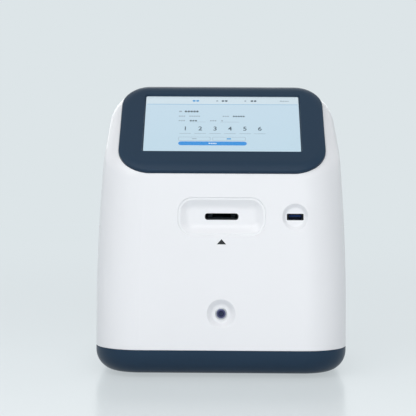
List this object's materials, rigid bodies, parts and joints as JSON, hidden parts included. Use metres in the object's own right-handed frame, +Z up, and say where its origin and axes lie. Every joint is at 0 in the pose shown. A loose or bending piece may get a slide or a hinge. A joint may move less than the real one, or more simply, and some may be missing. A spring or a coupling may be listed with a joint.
{
  "type": "automated cell counter",
  "caption": "Bench cell counter: rounded white case, sloping blue-framed touch screen, front slide slot, USB socket and power button, motor-driven microscope inside.",
  "frame": {"origin": "middle of the case's footprint, on the bench surface that the rubber feet stand on", "axes": "+Z up, -Y towards the operator (slide slot and screen), +X to the operator's right"},
  "size_m": [0.24, 0.2275, 0.2765],
  "materials": {
    "housing_white": "smooth satin-gloss moulded",
    "bezel_navy": "satin-gloss moulded, slate navy",
    "cover_glass": "polished",
    "display": "lit screen",
    "black_plastic": "fine satin moulded",
    "button_steel": "polished",
    "button_blue": "clear-coated lens",
    "usb_steel": "dark nickel plated",
    "usb_blue": "moulded",
    "foot_rubber": "matt",
    "screw_steel": "zinc plated",
    "sheet_steel": "zinc plated sheet",
    "anodised_black": "black anodised",
    "machined_aluminium": "milled, clear anodised",
    "rod_steel": "ground",
    "bush_brass": "turned",
    "lens_glass": "coated",
    "board_green": "solder resist",
    "rear_grey": "fine texture paint",
    "motor_black": "satin"
  },
  "bodies": {
    "base": {"upper_housing": "housing_white", "base_tub": "bezel_navy", "rubber_feet": "foot_rubber", "base_screws": "screw_steel", "screen_bezel": "bezel_navy", "cover_glass": "cover_glass", "display_panel": "display", "display_bracket": "sheet_steel", "display_screws": "screw_steel", "slide_guide": "black_plastic", "guide_screws": "screw_steel", "button_bushing": "button_steel", "button_nut": "screw_steel", "button_switch_body": "black_plastic", "usb_shell": "usb_steel", "usb_tongue": "usb_blue", "usb_socket_body": "black_plastic", "usb_screws": "screw_steel", "chassis_plate": "sheet_steel", "chassis_screws": "screw_steel", "optics_side_plate_left": "machined_aluminium", "optics_side_plate_right": "machined_aluminium", "stage_deck": "machined_aluminium", "rod_supports": "machined_aluminium", "stage_rods": "rod_steel", "stage_motor": "motor_black", "stage_motor_bracket": "sheet_steel", "home_sensor": "black_plastic", "focus_rods": "rod_steel", "focus_motor": "motor_black", "illuminator_arm": "machined_aluminium", "condenser_barrel": "anodised_black", "condenser_lens": "lens_glass", "led_board": "board_green", "mainboard": "board_green", "board_standoffs": "bush_brass", "board_screws": "screw_steel", "heat_sink": "anodised_black", "rear_panel": "rear_grey", "rear_panel_screws": "screw_steel", "fan_frame": "black_plastic", "fan_screws": "screw_steel", "dc_inlet_body": "black_plastic", "dc_inlet_pin": "screw_steel", "dc_inlet_nut": "screw_steel"},
    "slide_stage": {"slide_carriage": "anodised_black", "carriage_bushes": "bush_brass", "carriage_nut": "bush_brass"},
    "stage_drive": {"stage_screw": "rod_steel"},
    "focus_stage": {"focus_carriage": "machined_aluminium", "focus_nut": "bush_brass", "lens_tube": "anodised_black", "objective_barrel": "anodised_black", "objective_lens": "lens_glass", "camera_board": "board_green", "camera_sensor": "black_plastic"},
    "focus_drive": {"focus_screw": "rod_steel"},
    "power_key": {"power_button": "button_steel", "button_lens": "button_blue"},
    "fan_wheel": {"fan_rotor": "black_plastic"}
  },
  "joints": [
    {"name": "stage_travel", "type": "slide", "parent": "base", "child": "slide_stage", "axis": [0, 1, 0], "range_m": [0, 0.04]},
    {"name": "stage_screw_turn", "type": "hinge", "parent": "base", "child": "stage_drive", "pos_m": [0.0225, 0, 0.15], "axis": [0, 1, 0], "range_deg": [-3610, 10]},
    {"name": "focus_travel", "type": "slide", "parent": "base", "child": "focus_stage", "axis": [0, 0, 1], "range_m": [-0.002, 0.002]},
    {"name": "focus_screw_turn", "type": "hinge", "parent": "base", "child": "focus_drive", "pos_m": [0, 0.014, 0.08], "axis": [0, 0, 1], "range_deg": [-365, 365]},
    {"name": "power_press", "type": "slide", "parent": "base", "child": "power_key", "axis": [0, 0.9981, -0.061], "range_m": [0, 0.0012], "stiffness_N_per_m": 800, "springref_m": -0.001},
    {"name": "fan_spin", "type": "hinge", "parent": "base", "child": "fan_wheel", "pos_m": [-0.036, 0.10363, 0.07879], "axis": [0, 0.9997, 0.0262], "continuous": true}
  ],
  "couplings": [
    {"joint": "stage_screw_turn", "follows": "stage_travel", "rad_per_m": -1570.8},
    {"joint": "focus_screw_turn", "follows": "focus_travel", "rad_per_m": -3141.6}
  ]
}
